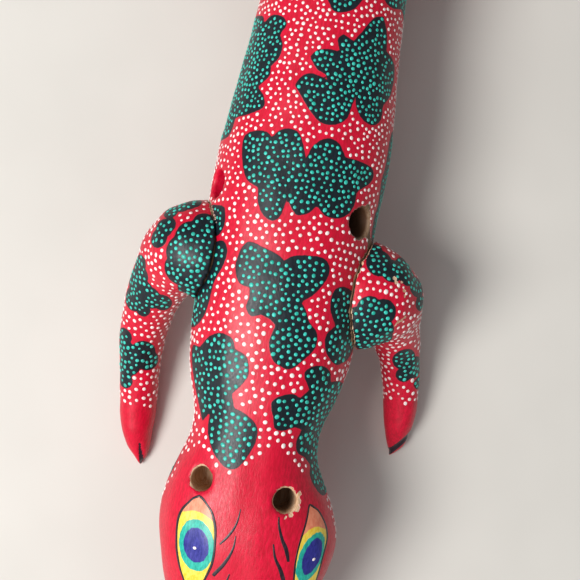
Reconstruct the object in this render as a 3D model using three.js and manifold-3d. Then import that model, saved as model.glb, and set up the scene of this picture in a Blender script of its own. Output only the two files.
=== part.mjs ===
// A carved wooden figure of a crouching animal with hooves, in the manner of Oaxacan folk carving.
// One billet makes the head and trunk. Four carved legs are coped to the round of the trunk, bedded on a
// line of glue-and-sawdust putty, and pinned with two wire nails each, whose heads are sunk and stopped
// with putty. The tail is a push-fit piece with a round peg. Two empty sockets in the head and two behind
// the shoulders take plug-in ears and wings.
//
// Millimetres, +Z up, the head towards -Y, the animal's left side on +X, standing on z = 0.
// Places along the trunk are given as s, the distance forward of the shoulders.

import * as THREE from "three";
import { mergeVertices } from "three/addons/utils/BufferGeometryUtils.js";
import Module from "manifold-3d";

const wasm = await Module();
wasm.setup();

// ---------------------------------------------------------------- driving dimensions

const SHOULDER_Y = -57; // where s = 0 lies, so that the whole figure is centred on the origin
const BACK_HEIGHT = 40; // height of the trunk's centreline at the shoulders
const SQUARENESS = 2.15; // superellipse power of the trunk's section: 2 is an ellipse

const GAP = 0.3; // air between neighbouring pieces
const PUTTY = 0.6; // thickness of the putty line between a leg and the trunk
const PUTTY_INSET = 1.0; // how far the putty line stops short of the leg's edge

const EAR_SOCKET = { radius: 3.9, depth: 12 };
const WING_SOCKET = { radius: 4.7, depth: 13 };
const SOCKETS = [
  { x: -13.8, s: 62.6, axis: [-0.2, 0.03, 0.98], size: EAR_SOCKET },
  { x: 13.4, s: 64.3, axis: [0.2, 0.03, 0.98], size: EAR_SOCKET },
  { x: 21.4, s: -25.4, axis: [0.88, 0, 0.47], size: WING_SOCKET },
  { x: -26.6, s: -30, axis: [-0.93, 0, 0.37], size: WING_SOCKET },
];
const TAIL_PEG = { radius: 4.6, length: 20, clearance: 0.3, spare: 2 };
const TAIL_SEAT = { height: 43, radius: 12, depth: 1.6 }; // the flat pared on the rump under the tail

const NAIL = { radius: 0.9, headRadius: 1.7, headThickness: 0.9, point: 2.6 };
const NAIL_TILT = THREE.MathUtils.degToRad(40);
const NAIL_TIP = { x: 15, z: 33 };
const NAIL_OFFSETS = [-6.5, 5.8]; // the two nails either side of the leg's middle
const NAIL_SINK = 3.2; // depth of the nail's head below the leg's surface
const PLUG_RADIUS = 2.5;

const TRUNK_SIDES = 26;
const TRUNK_RINGS = 38;
const LIMB_SIDES = 14;
const LIMB_RINGS = 17;
const TAIL_RINGS = 22;
const SOCKET_SIDES = 20;
const ROUND_SIDES = 10;

// Trunk sections from nose to rump: [s, centre x, centre z, half width, height above, height below].
const TRUNK = [
  [139, 6.9, 37.5, 5.5, 5, 5],
  [136, 6.8, 37.8, 10, 8.8, 8.6],
  [130, 6.3, 38.3, 13.6, 11.4, 11.6],
  [121, 5.5, 39, 16.4, 13.4, 13.6],
  [112, 4.5, 39.8, 19.4, 15.4, 15.2],
  [102, 3.5, 40.8, 23.8, 18, 17],
  [92, 3.7, 41.6, 27.1, 20.2, 19],
  [82, 3.6, 42, 29.6, 21.6, 20.4],
  [72, 2.6, 42, 29.2, 22, 21],
  [62, 1.1, 41.8, 25.3, 21.6, 21],
  [54, 0.3, 41.4, 21.9, 21.2, 21],
  [46, 0, 41, 20.8, 21.4, 21.2],
  [38, 0, 40.8, 23, 22.6, 22.6],
  [27, 0, 40.4, 26.2, 24.2, 24.4],
  [13, 0, BACK_HEIGHT, 27.5, 25, 25.8],
  [-5, 0, BACK_HEIGHT, 28, 25.4, 26],
  [-24, -0.9, BACK_HEIGHT, 28, 25.4, 26],
  [-42, -0.3, BACK_HEIGHT, 28.5, 25, 25.5],
  [-60, 0.1, BACK_HEIGHT, 27.3, 24.3, 24.6],
  [-80, 0, BACK_HEIGHT, 25.2, 23.4, 23.6],
  [-100, 0, BACK_HEIGHT, 23.9, 22.5, 22.6],
  [-120, 0, BACK_HEIGHT, 23.4, 22.2, 22.2],
  [-138, 0, BACK_HEIGHT, 24.8, 23.4, 23],
  [-155, 0, BACK_HEIGHT, 26.8, 24.6, 24],
  [-171, 0, BACK_HEIGHT, 26.4, 24.2, 23.6],
  [-184, 0, BACK_HEIGHT, 22.4, 20.8, 20.4],
  [-193, 0, 40.4, 15.4, 14.8, 14.6],
  [-198, 0, 40.8, 8, 7.8, 7.8],
];
const NOSE_TIP = [6.9, 140, 37.4];
const RUMP_TIP = [0, -199.4, 41];

// Leg sections from the root, inside the trunk, to the hoof: [x, s, z, half width, half depth].
// The left legs are on +X. No two legs of a hand-carved pair match.
const FRONT_LEFT = [
  [17, -3.2, 43, 18, 14],
  [28.4, -3.2, 43.2, 18.4, 14],
  [34.2, -2.8, 41, 15.4, 13.6],
  [37.6, -0.4, 35, 12, 10.8],
  [40.6, 4.8, 26.8, 9.6, 9],
  [44.4, 12.8, 18.4, 7.8, 8],
  [47.4, 22, 12.4, 6.8, 7.4],
  [49.2, 32.5, 8.4, 6.6, 7.2],
  [50, 40, 5.4, 6.4, 6.8],
  [50.6, 46.5, 3.2, 4.8, 4.8],
  [50.9, 51, 1.8, 2.6, 2.8],
];
const FRONT_RIGHT = [
  [-17, -8, 43, 17, 14],
  [-29, -8, 43, 17.3, 15],
  [-34.2, -6.6, 41.6, 15.2, 13.8],
  [-37.8, -2.4, 36.8, 12.2, 11.6],
  [-42, 6.4, 29, 9.8, 10.2],
  [-45, 17, 20.8, 8.3, 9.2],
  [-46.2, 27, 15, 7.6, 8.2],
  [-45.6, 37, 10.8, 7, 7.4],
  [-44.6, 49, 6.8, 6.6, 7],
  [-43.6, 58, 4.8, 6, 6.4],
  [-42, 65.5, 3, 4.4, 4.7],
  [-40.8, 70.5, 1.8, 2.5, 2.8],
];
const HIND_LEFT = [
  [16, -164, 41.5, 20, 15],
  [28, -164, 41.5, 20.4, 16.4],
  [36, -162.6, 39.4, 18.6, 16.6],
  [42, -157.8, 33.6, 14.4, 15],
  [44.6, -151.4, 25, 10.6, 12.6],
  [45.4, -144.6, 17, 8.4, 10],
  [45.6, -137.6, 11.4, 7.4, 8.2],
  [45.4, -131.6, 7, 6.8, 7.2],
  [44.8, -126.6, 4.2, 5.4, 5.6],
  [44.2, -122.8, 2, 2.9, 3.2],
];
const HIND_RIGHT = HIND_LEFT.map(([x, s, z, a, b]) => [-x, s + 2.5, z, a, b]);

// Tail sections behind its seat: [how far back, how far up, sideways drift, radius].
const TAIL = [
  [0, 0, 0, 9],
  [9, 0.6, 0.2, 8.8],
  [21, 4, 1.2, 8.3],
  [34, 12, 3, 7.6],
  [45, 25, 4.8, 6.8],
  [50, 42, 5.2, 6],
  [47, 59, 3.6, 5.2],
  [37, 71, 0.6, 4.4],
  [25, 73.5, -2.6, 3.5],
  [17, 67, -4.6, 2.7],
  [16.5, 59, -5, 1.8],
];
const TAIL_END = [18.4, 55.6, -5];

const PAINT_RED = 0xc8152b;
const PUTTY_TAN = 0xc9a878;
const STEEL_GREY = 0x8b8d8f;

// ---------------------------------------------------------------- solids

const at = (x, s, z) => new THREE.Vector3(x, SHOULDER_Y - s, z);

// A three.js geometry as a manifold solid, turned the right way out.
function solid(geometry) {
  const bare = geometry.clone();
  bare.deleteAttribute("normal");
  bare.deleteAttribute("uv");
  const merged = mergeVertices(bare, 1e-4);
  const triVerts = new Uint32Array(merged.index.array);
  const vertProperties = new Float32Array(merged.attributes.position.array);
  const make = () => new wasm.Manifold(new wasm.Mesh({ numProp: 3, vertProperties, triVerts }));
  const made = make();
  if (made.volume() > 0) return made;
  for (let i = 0; i < triVerts.length; i += 3) {
    [triVerts[i + 1], triVerts[i + 2]] = [triVerts[i + 2], triVerts[i + 1]];
  }
  return make();
}

function geometryOf(manifold) {
  const mesh = manifold.getMesh();
  const geometry = new THREE.BufferGeometry();
  geometry.setAttribute("position", new THREE.BufferAttribute(mesh.vertProperties, 3));
  geometry.setIndex(new THREE.BufferAttribute(mesh.triVerts, 1));
  return geometry.toNonIndexed();
}

// A closed skin over rings of points, with one point closing each end.
function skin(start, rings, end) {
  const sides = rings[0].length;
  const points = [start, ...rings.flat(), end];
  const last = points.length - 1;
  const index = (ring, k) => 1 + ring * sides + (k % sides);
  const faces = [];
  for (let k = 0; k < sides; k += 1) {
    faces.push(0, index(0, k + 1), index(0, k));
    faces.push(last, index(rings.length - 1, k), index(rings.length - 1, k + 1));
    for (let r = 0; r < rings.length - 1; r += 1) {
      faces.push(index(r, k), index(r, k + 1), index(r + 1, k));
      faces.push(index(r, k + 1), index(r + 1, k + 1), index(r + 1, k));
    }
  }
  const geometry = new THREE.BufferGeometry().setFromPoints(points);
  geometry.setIndex(faces);
  return geometry;
}

// The same share of the way along two smooth curves: one through the centres, one through the sizes.
function samples(centres, sizes, count) {
  const path = new THREE.CatmullRomCurve3(centres);
  const girth = new THREE.CatmullRomCurve3(sizes);
  return Array.from({ length: count + 1 }, (_, i) => ({
    centre: path.getPoint(i / count),
    tangent: path.getTangent(i / count),
    size: girth.getPoint(i / count),
  }));
}

const rounded = (v) => Math.sign(v) * Math.abs(v) ** (2 / SQUARENESS);

// The trunk, each section grown outwards by the given amount.
function trunk(grow = 0) {
  const centres = TRUNK.map(([s, x, z]) => at(x, s, z));
  const sizes = TRUNK.map(([, , , w, up, down]) => new THREE.Vector3(w, up, down));
  const rings = samples(centres, sizes, TRUNK_RINGS).map(({ centre, size }) =>
    Array.from({ length: TRUNK_SIDES }, (_, k) => {
      const angle = (2 * Math.PI * k) / TRUNK_SIDES;
      const height = Math.sin(angle) >= 0 ? size.y : size.z;
      return new THREE.Vector3(
        centre.x + (size.x + grow) * rounded(Math.cos(angle)),
        centre.y,
        centre.z + (height + grow) * rounded(Math.sin(angle)),
      );
    }),
  );
  return skin(at(...NOSE_TIP), rings, at(...RUMP_TIP));
}

// A limb swept along its own centreline. Its width starts along the trunk and turns with the limb.
function limb(centres, sizes, end, firstAcross, count, grow = 0) {
  const across = firstAcross.clone();
  const rings = samples(centres, sizes, count).map(({ centre, tangent, size }) => {
    across.addScaledVector(tangent, -across.dot(tangent)).normalize();
    const up = new THREE.Vector3().crossVectors(tangent, across);
    return Array.from({ length: LIMB_SIDES }, (_, k) => {
      const angle = (2 * Math.PI * k) / LIMB_SIDES;
      return centre
        .clone()
        .addScaledVector(across, (size.x + grow) * Math.cos(angle))
        .addScaledVector(up, (size.y + grow) * Math.sin(angle));
    });
  });
  return skin(centres[0], rings, end);
}

function legSurface(sections, grow = 0) {
  const centres = sections.map(([x, s, z]) => at(x, s, z));
  const sizes = sections.map(([, , , a, b]) => new THREE.Vector3(a, b, 0));
  const tip = centres[centres.length - 1].clone().add(new THREE.Vector3(0, -2, -1));
  return limb(centres, sizes, tip, new THREE.Vector3(0, -1, 0), LIMB_RINGS, grow);
}

// A cylinder from one point to another.
function rod(from, to, radius, sides = ROUND_SIDES) {
  const axis = new THREE.Vector3().subVectors(to, from);
  const geometry = new THREE.CylinderGeometry(radius, radius, axis.length(), sides);
  geometry.applyQuaternion(
    new THREE.Quaternion().setFromUnitVectors(new THREE.Vector3(0, 1, 0), axis.clone().normalize()),
  );
  const middle = from.clone().addScaledVector(axis, 0.5);
  return solid(geometry.translate(middle.x, middle.y, middle.z));
}

const along = (point, axis, distance) => point.clone().addScaledVector(axis, distance);

// Where a line that comes in from outside along -axis first meets a surface.
function entry(geometry, point, axis) {
  const ray = new THREE.Raycaster(along(point, axis, 200), axis.clone().negate());
  const mesh = new THREE.Mesh(geometry, new THREE.MeshBasicMaterial({ side: THREE.DoubleSide }));
  return ray.intersectObject(mesh)[0].point;
}

// ---------------------------------------------------------------- the pieces

const figure = new THREE.Group();

function addNode(name, manifold, colour, roughness, metalness = 0) {
  const material = new THREE.MeshStandardMaterial({ color: colour, roughness, metalness });
  const mesh = new THREE.Mesh(geometryOf(manifold), material);
  mesh.geometry.computeVertexNormals();
  mesh.name = name;
  figure.add(mesh);
}

const trunkSurface = trunk();
let body = solid(trunkSurface);

// Ear sockets go almost straight down, and wing sockets slope up and out of the flank.
function drillSockets() {
  for (const { x, s, axis, size } of SOCKETS) {
    const outwards = new THREE.Vector3(...axis).normalize();
    const above = entry(trunkSurface, at(x, s, BACK_HEIGHT), new THREE.Vector3(0, 0, 1));
    const bottom = along(above, outwards, -size.depth);
    body = body.subtract(rod(bottom, along(above, outwards, 8), size.radius, SOCKET_SIDES));
  }
}

const bedding = solid(trunk(GAP + PUTTY)).subtract(solid(trunk(GAP)));
const coping = solid(trunk(2 * GAP + PUTTY));
const ground = solid(new THREE.BoxGeometry(400, 600, 60).translate(0, 0, -30));

function nailBody(length) {
  const profile = [
    [0, 0],
    [NAIL.radius, NAIL.point],
    [NAIL.radius, length - NAIL.headThickness],
    [NAIL.headRadius, length - NAIL.headThickness],
    [NAIL.headRadius, length],
    [0, length],
  ].map(([r, h]) => new THREE.Vector2(r, h));
  return new THREE.LatheGeometry(profile, ROUND_SIDES);
}

// One leg with its putty line, two nails and the plugs over their heads.
function addLeg(name, sections) {
  const surface = legSurface(sections);
  const whole = solid(surface);
  const side = Math.sign(sections[0][0]);
  const rootS = sections[0][1];
  const outwards = new THREE.Vector3(side * Math.cos(NAIL_TILT), 0, Math.sin(NAIL_TILT));

  let leg = whole.subtract(coping).subtract(ground);
  let putty = solid(legSurface(sections, -PUTTY_INSET)).intersect(bedding);
  NAIL_OFFSETS.forEach((offset, i) => {
    const tip = at(side * NAIL_TIP.x, rootS + offset, NAIL_TIP.z);
    const skinPoint = entry(surface, tip, outwards);
    const head = along(skinPoint, outwards, -NAIL_SINK);
    const shaft = rod(along(tip, outwards, -GAP), skinPoint, NAIL.radius + GAP);
    const headSeat = along(head, outwards, -NAIL.headThickness - GAP);
    const pocket = rod(headSeat, along(skinPoint, outwards, 8), PLUG_RADIUS + GAP);
    leg = leg.subtract(shaft).subtract(pocket);
    putty = putty.subtract(shaft);
    body = body.subtract(shaft);

    const nail = nailBody(head.distanceTo(tip));
    nail.applyQuaternion(
      new THREE.Quaternion().setFromUnitVectors(new THREE.Vector3(0, 1, 0), outwards),
    );
    nail.translate(tip.x, tip.y, tip.z);
    addNode(`${name}_nail_${i + 1}`, solid(nail), STEEL_GREY, 0.4, 1);

    const plugCore = rod(along(head, outwards, GAP), along(skinPoint, outwards, 8), PLUG_RADIUS);
    addNode(`${name}_nail_plug_${i + 1}`, plugCore.intersect(whole), PUTTY_TAN, 0.8);
  });
  addNode(`${name}_leg`, leg, PAINT_RED, 0.45);
  addNode(`${name}_seam_putty`, putty, PUTTY_TAN, 0.9);
}

// The tail pulls straight back out of the rump.
function addTail() {
  const axis = new THREE.Vector3(0, 1, 0);
  const rump = entry(trunkSurface, at(0, RUMP_TIP[1] + 20, TAIL_SEAT.height), axis);
  const seat = along(rump, axis, -TAIL_SEAT.depth);
  const bottom = along(seat, axis, -TAIL_PEG.length - TAIL_PEG.spare);
  body = body.subtract(rod(seat, along(seat, axis, 30), TAIL_SEAT.radius, SOCKET_SIDES));
  const bore = TAIL_PEG.radius + TAIL_PEG.clearance;
  body = body.subtract(rod(bottom, along(seat, axis, 1), bore, SOCKET_SIDES));

  const start = along(seat, axis, GAP);
  const place = ([back, up, drift]) => start.clone().add(new THREE.Vector3(drift, back, up));
  const sizes = TAIL.map(([, , , r]) => new THREE.Vector3(r, r, 0));
  const across = new THREE.Vector3(1, 0, 0);
  const swept = solid(limb(TAIL.map(place), sizes, place(TAIL_END), across, TAIL_RINGS));
  const behindSeat = rod(along(start, axis, -20), start, 2 * TAIL_SEAT.radius);
  const inner = along(seat, axis, -TAIL_PEG.length);
  const peg = rod(inner, along(start, axis, 3), TAIL_PEG.radius, SOCKET_SIDES);
  addNode("tail", swept.subtract(behindSeat).add(peg), PAINT_RED, 0.45);
}

drillSockets();
addLeg("front_left", FRONT_LEFT);
addLeg("front_right", FRONT_RIGHT);
addLeg("hind_left", HIND_LEFT);
addLeg("hind_right", HIND_RIGHT);
addTail();
addNode("head_and_trunk", body, PAINT_RED, 0.45);

export default figure;
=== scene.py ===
"""Looks of a hand-carved, hand-painted wooden beast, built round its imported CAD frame.

Lengths are in millimetres, and piece() turns a mesh to metres. x is across the animal (its left is
+x), s is the distance forward of the shoulders and z is the height, so y = SHOULDER_Y - s.
"""
import math
from collections import deque

import bpy
import numpy as np
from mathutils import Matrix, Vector
from mathutils.bvhtree import BVHTree
from mathutils.kdtree import KDTree


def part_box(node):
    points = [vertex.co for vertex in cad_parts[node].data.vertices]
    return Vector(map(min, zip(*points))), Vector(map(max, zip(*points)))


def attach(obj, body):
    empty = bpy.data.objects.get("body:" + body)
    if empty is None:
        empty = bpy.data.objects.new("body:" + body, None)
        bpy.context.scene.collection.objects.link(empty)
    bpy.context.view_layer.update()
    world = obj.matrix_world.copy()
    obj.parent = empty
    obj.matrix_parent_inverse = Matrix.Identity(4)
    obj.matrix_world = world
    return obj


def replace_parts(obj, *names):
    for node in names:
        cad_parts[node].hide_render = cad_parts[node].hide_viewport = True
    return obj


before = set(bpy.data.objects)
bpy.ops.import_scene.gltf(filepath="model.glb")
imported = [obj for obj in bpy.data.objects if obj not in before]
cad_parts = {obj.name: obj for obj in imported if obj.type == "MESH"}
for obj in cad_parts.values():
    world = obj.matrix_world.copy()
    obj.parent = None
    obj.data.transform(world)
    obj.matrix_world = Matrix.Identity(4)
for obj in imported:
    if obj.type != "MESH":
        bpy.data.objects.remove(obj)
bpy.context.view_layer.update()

MM = 0.001
SHOULDER_Y = -57.0
LEGS = ("front_left", "front_right", "hind_left", "hind_right")
PEG_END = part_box("tail")[0].y / MM  # y of the front end of the tail's peg, inside the rump
TAIL_PEG = 20                       # its length, left as bare wood
TRUNK_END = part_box("head_and_trunk")[1].y / MM
FAR = 1e3                           # a distance beyond all that matter
OUTSIDE = -50.0                     # a depth well outside every cloud

# ---- Camera and light -------------------------------------------------------------------------
CAMERA_XYZ = (2.95, -56.46, 360.0)
CAMERA_ROLL = 10.37
CAMERA_LENS = 59.6
KEY_LIGHT = {"at": (-440, -260, 740), "size": 420, "watts": 8.2, "colour": (1.0, 0.985, 0.96)}
FILL_LIGHT = {"at": (-300, -650, 800), "size": 900, "watts": 1.8, "colour": (0.97, 0.98, 1.0)}
SKY = {"colour": (0.96, 0.98, 1.0), "strength": 0.29}
LIGHT_AIM = (0, -60, 20)
FLOOR_REACH = 2.0       # metres each way

# ---- Skin: how finely the carved parts are remeshed and evened out -----------------------------
TRUNK_VOXEL = 0.9
LIMB_VOXEL = 0.7
TRUNK_ROUNDS = 70
LIMB_ROUNDS = 45
LEAST_EVENING = 0.05    # even an edge that stays sharp is evened this much
TOOL_WAVES = 7          # faint hollows that the knife and sandpaper left
TOOL_WAVE_HEIGHT = 0.05
TOOL_WAVE_LENGTH = (7, 16)
PLUG_SWELL = 1.16       # nail stoppings are swollen so that they fuse with the leg
SEED = 7

# Sockets: mouth centre, axis out of the wood and radius, as in the CAD part.
SOCKETS = {
    "ear_right": ((-13.8, -119.6, 59.9), (-0.2, 0.03, 0.98), 3.9),
    "ear_left": ((13.4, -121.3, 61.4), (0.2, 0.03, 0.98), 3.9),
    "wing_left": ((21.4, -31.6, 56.4), (0.88, 0.0, 0.47), 4.7),
    "wing_right": ((-26.6, -27.0, 50.8), (-0.93, 0.0, 0.37), 4.7),
}
SOCKET_DEPTH = 14       # deeper than any socket
SOCKET_MARGIN = 0.9     # the bore's wall lies within this of its radius
WINGS_BEHIND = -45      # the wing sockets lie behind this y and the ear sockets ahead of it
# Paint runs over each socket's rim, and the wood is bare between these depths and below.
BARE_BELOW = {
    "ear_right": (0.2, 1.2),
    "ear_left": (-0.4, 0.6),
    "wing_left": (-1.2, -0.2),
    "wing_right": (3.6, 4.6),
}

# How far the seam of each leg stands open at distances s along it.
SEAM_OPENING = {
    "front_left": ((-24, 0.3), (-16, 0.4), (-9, 0.5), (-3, 0.6), (8, 0.65), (16, 0.5)),
    "front_right": (
        (-24, 0.08), (-17, 0.1), (-12, 0.45), (-6, 0.9), (2, 0.85), (10, 0.5), (14, 0.3),
    ),
    "hind_left": ((-215, 0.3), (-190, 0.45), (-170, 0.3)),
    "hind_right": ((-215, 0.3), (-190, 0.4), (-170, 0.5)),
}
SEAM_CAD_GAP = 1.2
SEAM_REACH = 9          # the trunk is looked for this far from a leg
COPED = 2.0             # a leg's points nearer the trunk than this are on its coped face
COPE_EDGE = 0.75        # how far the edge of a coped face stands off the trunk

# ---- Painted clouds on the trunk: outlines of (x, s) seen from above. A curve runs through the
# ---- points, and breaks at each sharp notch or tip, which is marked with a 1. -------------------
OUTLINES = {
    "back_right": (
        (-31, -87), (-22, -85.5), (-20.5, -82.5, 1), (-18.5, -85), (-15, -84.5), (-13, -82),
        (-14.5, -78.5, 1), (-13, -75), (-13.5, -71), (-15.5, -68.5, 1), (-15.5, -65),
        (-18.5, -61.5, 1), (-16, -58.5), (-15.5, -55), (-20, -52.5), (-24, -51.5, 1),
        (-25, -46), (-28, -44.5), (-31, -46), (-31, -66),
    ),
    "back_left": (
        (13.5, -89), (16.5, -90.5, 1), (18.5, -86), (19.5, -80.5, 1), (22, -79), (23.5, -75.5),
        (23.5, -68), (21.5, -63.5, 1), (21.5, -58.5), (19, -56), (15.5, -57), (13, -60),
        (12, -63.5, 1), (11.5, -59.5), (10.5, -55.5), (7, -53), (3, -53), (-1, -56), (-4, -59.5),
        (-7, -63, 1), (-5.5, -66), (-3, -67.5), (0.5, -67), (3.5, -66, 1), (1.5, -68), (-1, -69),
        (-4, -72.5, 1), (-2, -75), (2, -76), (5, -75.5, 1), (3.5, -79.5), (5, -81.5, 1),
        (8.5, -80, 1), (10.5, -83.5),
    ),
    "back_middle": (
        (-20, -43), (-19.5, -46), (-16.5, -47.5), (-13, -47.5), (-11, -46, 1), (-9, -48.5),
        (-6, -49.5), (-3, -48.5), (-1, -45), (0.5, -41, 1), (2, -45.5), (5.5, -48.5), (9.5, -48),
        (12.5, -44, 1), (17, -44), (21.5, -43), (22.5, -40.5), (21.5, -38), (18, -34.5, 1),
        (18, -30.5), (16.5, -27), (13.5, -25), (9.5, -25), (6.5, -27.5, 1), (4.5, -25),
        (1.5, -23.5), (-0.5, -24.5), (-3, -28, 1), (-4, -22.5), (-6, -20.5), (-9, -21.5),
        (-11.5, -25), (-12.5, -30, 1), (-16.5, -32), (-19, -37.5),
    ),
    "shoulders": (
        (-15, -4.5), (-14.5, -9.5), (-13, -12.5), (-11, -13), (-7.5, -12), (-2.5, -10.5),
        (-0.5, -9, 1), (2, -11), (6.5, -12), (11.5, -12), (14, -9), (13, -4.5), (10, 0),
        (7, 2.5, 1), (9, 5), (10.5, 8), (13.5, 11), (14, 15.5), (11, 20), (7.5, 23.5), (4, 23),
        (1.5, 21.5), (-0.5, 16.5), (0.5, 11, 1), (-1.5, 9.5), (-4.5, 8.5, 1), (-7.5, 9.5),
        (-9.5, 7), (-9, 4), (-9.5, 1, 1), (-13, 0),
    ),
    "neck_right": (
        (-22, 22.5, 1), (-19.5, 18.5), (-16, 16.5), (-12, 17.5), (-10.5, 20.5, 1), (-7.5, 21.5),
        (-6, 23), (-5, 27.5), (-6.5, 31), (-9, 34.5, 1), (-7.5, 38.5, 1), (-3, 40), (0.5, 43),
        (1, 47.5), (-0.5, 52), (-3, 56.5), (-6, 57.5), (-9, 56), (-12, 53), (-14.5, 48),
        (-15, 42, 1), (-17, 45.5, 1), (-19.5, 40), (-22, 34), (-24.5, 26), (-24.5, 22.5),
    ),
    "neck_middle": (
        (3.5, 35), (5.5, 32.5), (9.5, 31), (12, 32, 1), (15, 34), (14, 41), (12, 41.5, 1),
        (8.5, 43), (6, 42.5), (5, 39.5),
    ),
    "neck_left": (
        (14.5, 29, 1), (12, 24.5), (13.5, 22), (17, 21), (20, 22.5), (21, 26, 1), (22.5, 25.5),
        (25, 26), (30, 31), (28, 40), (24, 47), (22.5, 51), (25, 56), (28, 61), (26, 63), (23, 61),
        (20, 57), (19.5, 53.5, 1), (17, 51), (14.5, 49.5), (13.5, 46), (14.5, 42, 1),
        (12.5, 41.5, 1), (12, 32, 1),
    ),
    "seam_left": (
        (17, -3.5), (20, -4.5), (24, -2), (28, 8), (26, 17), (23.5, 19.5), (21, 20),
        (17.5, 16.5), (16.5, 11.5), (19, 8, 1), (16.5, 3.5), (16, -0.5),
    ),
    "seam_right_top": (
        (-22, -22.5), (-21, -18), (-22, -14), (-24.5, -13), (-28, -14), (-29, -22), (-24, -23),
    ),
    "seam_right_low": (
        (-24, -11, 1), (-20.5, -12), (-18.5, -9), (-19, -4.5), (-21, 1), (-21.5, 7),
        (-22.5, 12.5), (-25, 16.5), (-28, 16), (-29, 4), (-28, -8),
    ),
    "back_far": (
        (-1, -90), (0.5, -88), (3.5, -88), (7, -90), (9, -93.5, 1), (12, -97), (9, -102),
        (2, -104), (-5, -100), (-4, -94, 1),
    ),
    "back_far_left": (
        (14, -100), (16, -95.5), (19, -94.5), (22, -96, 1), (27, -93), (32, -95), (32, -112),
        (23, -110), (19, -106, 1), (16, -105),
    ),
    "flank_left": (
        (27, -58), (26, -54), (26, -46), (25.5, -40, 1), (26, -33), (25.5, -28), (26.5, -20),
        (32, -20), (32, -58),
    ),
    "cheek_right": (
        (-22.5, 56), (-23.5, 61), (-25, 66.5), (-27.5, 69), (-32, 68), (-32, 56), (-26, 54),
    ),
}
FLANK_TOP = 44          # below this height the sides turn under
FLANK_EDGE = 36         # clouds that reach the sides end here, in scallops this deep and wide
SCALLOP_DEPTH = 7.5
SCALLOP_WIDTH = 12.5
UNDERSIDE = 0.5         # and never reach round to where the surface faces down more than this

# ---- Painted clouds on the forelegs: (x, s, radius) of round lobes seen from above --------------
LEG_LOBES = {
    "front_left": (
        (27.5, -18, 2.6), (29.5, -14.2, 4.4), (34, -12.5, 3.8), (38, -14.5, 3.6), (43.5, -9, 3.4),
        (39.5, -12, 3.5), (46, -4, 2.6), (44.5, -12, 3), (28.8, 0.8, 4.1), (33.3, 1, 4.2),
        (28.3, 7.5, 4.3), (33.5, 7.2, 4.8), (30, 11.5, 4), (35.5, 9.5, 3.2), (31, 4.2, 4.4),
        (25.5, 4, 3.4), (46.5, 16, 4.2), (51, 18.5, 4.2), (48, 21.5, 3), (54, 14.5, 4),
        (55, 20, 4), (54.5, 24, 2.4),
    ),
    "front_right": (
        (-32.5, -23, 2.2), (-36, -21, 2.4), (-39.5, -18.5, 2.6), (-34, -22, 2.2),
        (-40.2, -12.8, 3.2), (-41.5, -9.3, 3.2), (-39, -14, 2.6), (-28, -16.5, 3.4),
        (-31, -11.5, 5), (-32.5, -6.3, 5.6), (-32.3, -1, 5.6), (-27.5, -5.5, 5.4),
        (-28.8, 1.5, 5.2), (-29, 5.5, 4), (-27, -11, 4.6), (-26, -16, 3.8), (-26, -1, 4.6),
        (-27, 5, 3.6), (-47.5, 0, 3.2), (-48.8, 5.5, 4), (-48.6, 12, 4.4), (-42.6, 10.5, 4),
        (-38.5, 11.3, 3.2), (-45.5, 9, 4.4), (-46.8, 3.5, 3.4), (-45, 15, 2.6),
        (-51.5, 26, 3.2), (-50.6, 31, 4), (-44, 30, 4), (-42.6, 33, 4), (-47, 32.5, 4.4),
        (-50, 37.5, 3.8), (-49.5, 42, 3), (-48.5, 36, 4),
    ),
}
LOBE_DROOP = 0.4        # drops count this much in a drawn lobe, so it runs down a steep side

# ---- Free clouds: on the far back, the underside and the tail, away from the drawn ones ---------
DRAWN_FROM = -112       # the drawn clouds start at this s
DRAWN_DOWN_TO = -0.25   # and stop where the surface faces down more than this
TRUNK_CLOUD_SPACING = 25
LIMB_CLOUD_SPACING = 19
TRUNK_CLOUDS_END = 138  # y, short of the rump's end
CLOUD_GAP = 9

# ---- Face and hooves: plain red in front of FACE_LINE, an (x, s) line, and of each HOOF_LINE ----
FACE_LINE = (
    (-22, 57), (-14.6, 53), (-9.6, 57.5), (-5, 58.6), (-0.4, 54.5), (3.5, 51.2), (7.2, 48.4),
    (9.7, 48), (13.4, 52.5), (18.7, 56), (23.3, 60), (27.5, 62),
)
FACE_LINE_LOW = 76      # the dots on the cheeks go on to this s
CHEEK_HEIGHT = ((40, 50.5), (62, 49.5), (70, 48), (76, 45.5))  # (s, z): the cheeks are below this
# Dark painted groove on each front hoof: from (x, s) to (x, s), half width at each end. On the right
# hoof it is the slit between the toes; on the left it is a wider band along the hoof's outer front
# edge.
HOOF_DARK_GROOVES = {
    "front_right": ((-41.2, 65.0), (-39.4, 73.0), 0.3, 0.9),
    # the left hoof's dark band runs along its outer front edge, back from the tip, not between the
    # toes
    "front_left": ((56.4, 43.0), (49.7, 52.0), 1.0, 1.1),
}
# The left foreleg narrows from its inner side: from s, to s, the fixed outer side's x, how much.
SHANK_TAPER = {"front_left": (12, 47, 56.5, 0.17)}
# The last stretch of each front hoof is drawn out to a point: (x, s) and the stretch's length.
HOOF_POINTS = {"front_right": (-39.6, 73.8, 8), "front_left": (49.8, 53.5, 5.5)}
HOOF_LINE = {"front_left": 31.5, "front_right": 50.0, "hind_left": -138.0, "hind_right": -136.0}
SLIT_BACK = 6.5         # a hind hoof's slit starts this far behind its end
NOSTRILS = ((2.6, 132.5), (11.2, 132.5))
MOUTH_START = 104       # the mouth runs forward from this s, and rises towards the nose
MOUTH_HEIGHT = 31.5
MOUTH_RISE = 0.05

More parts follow.
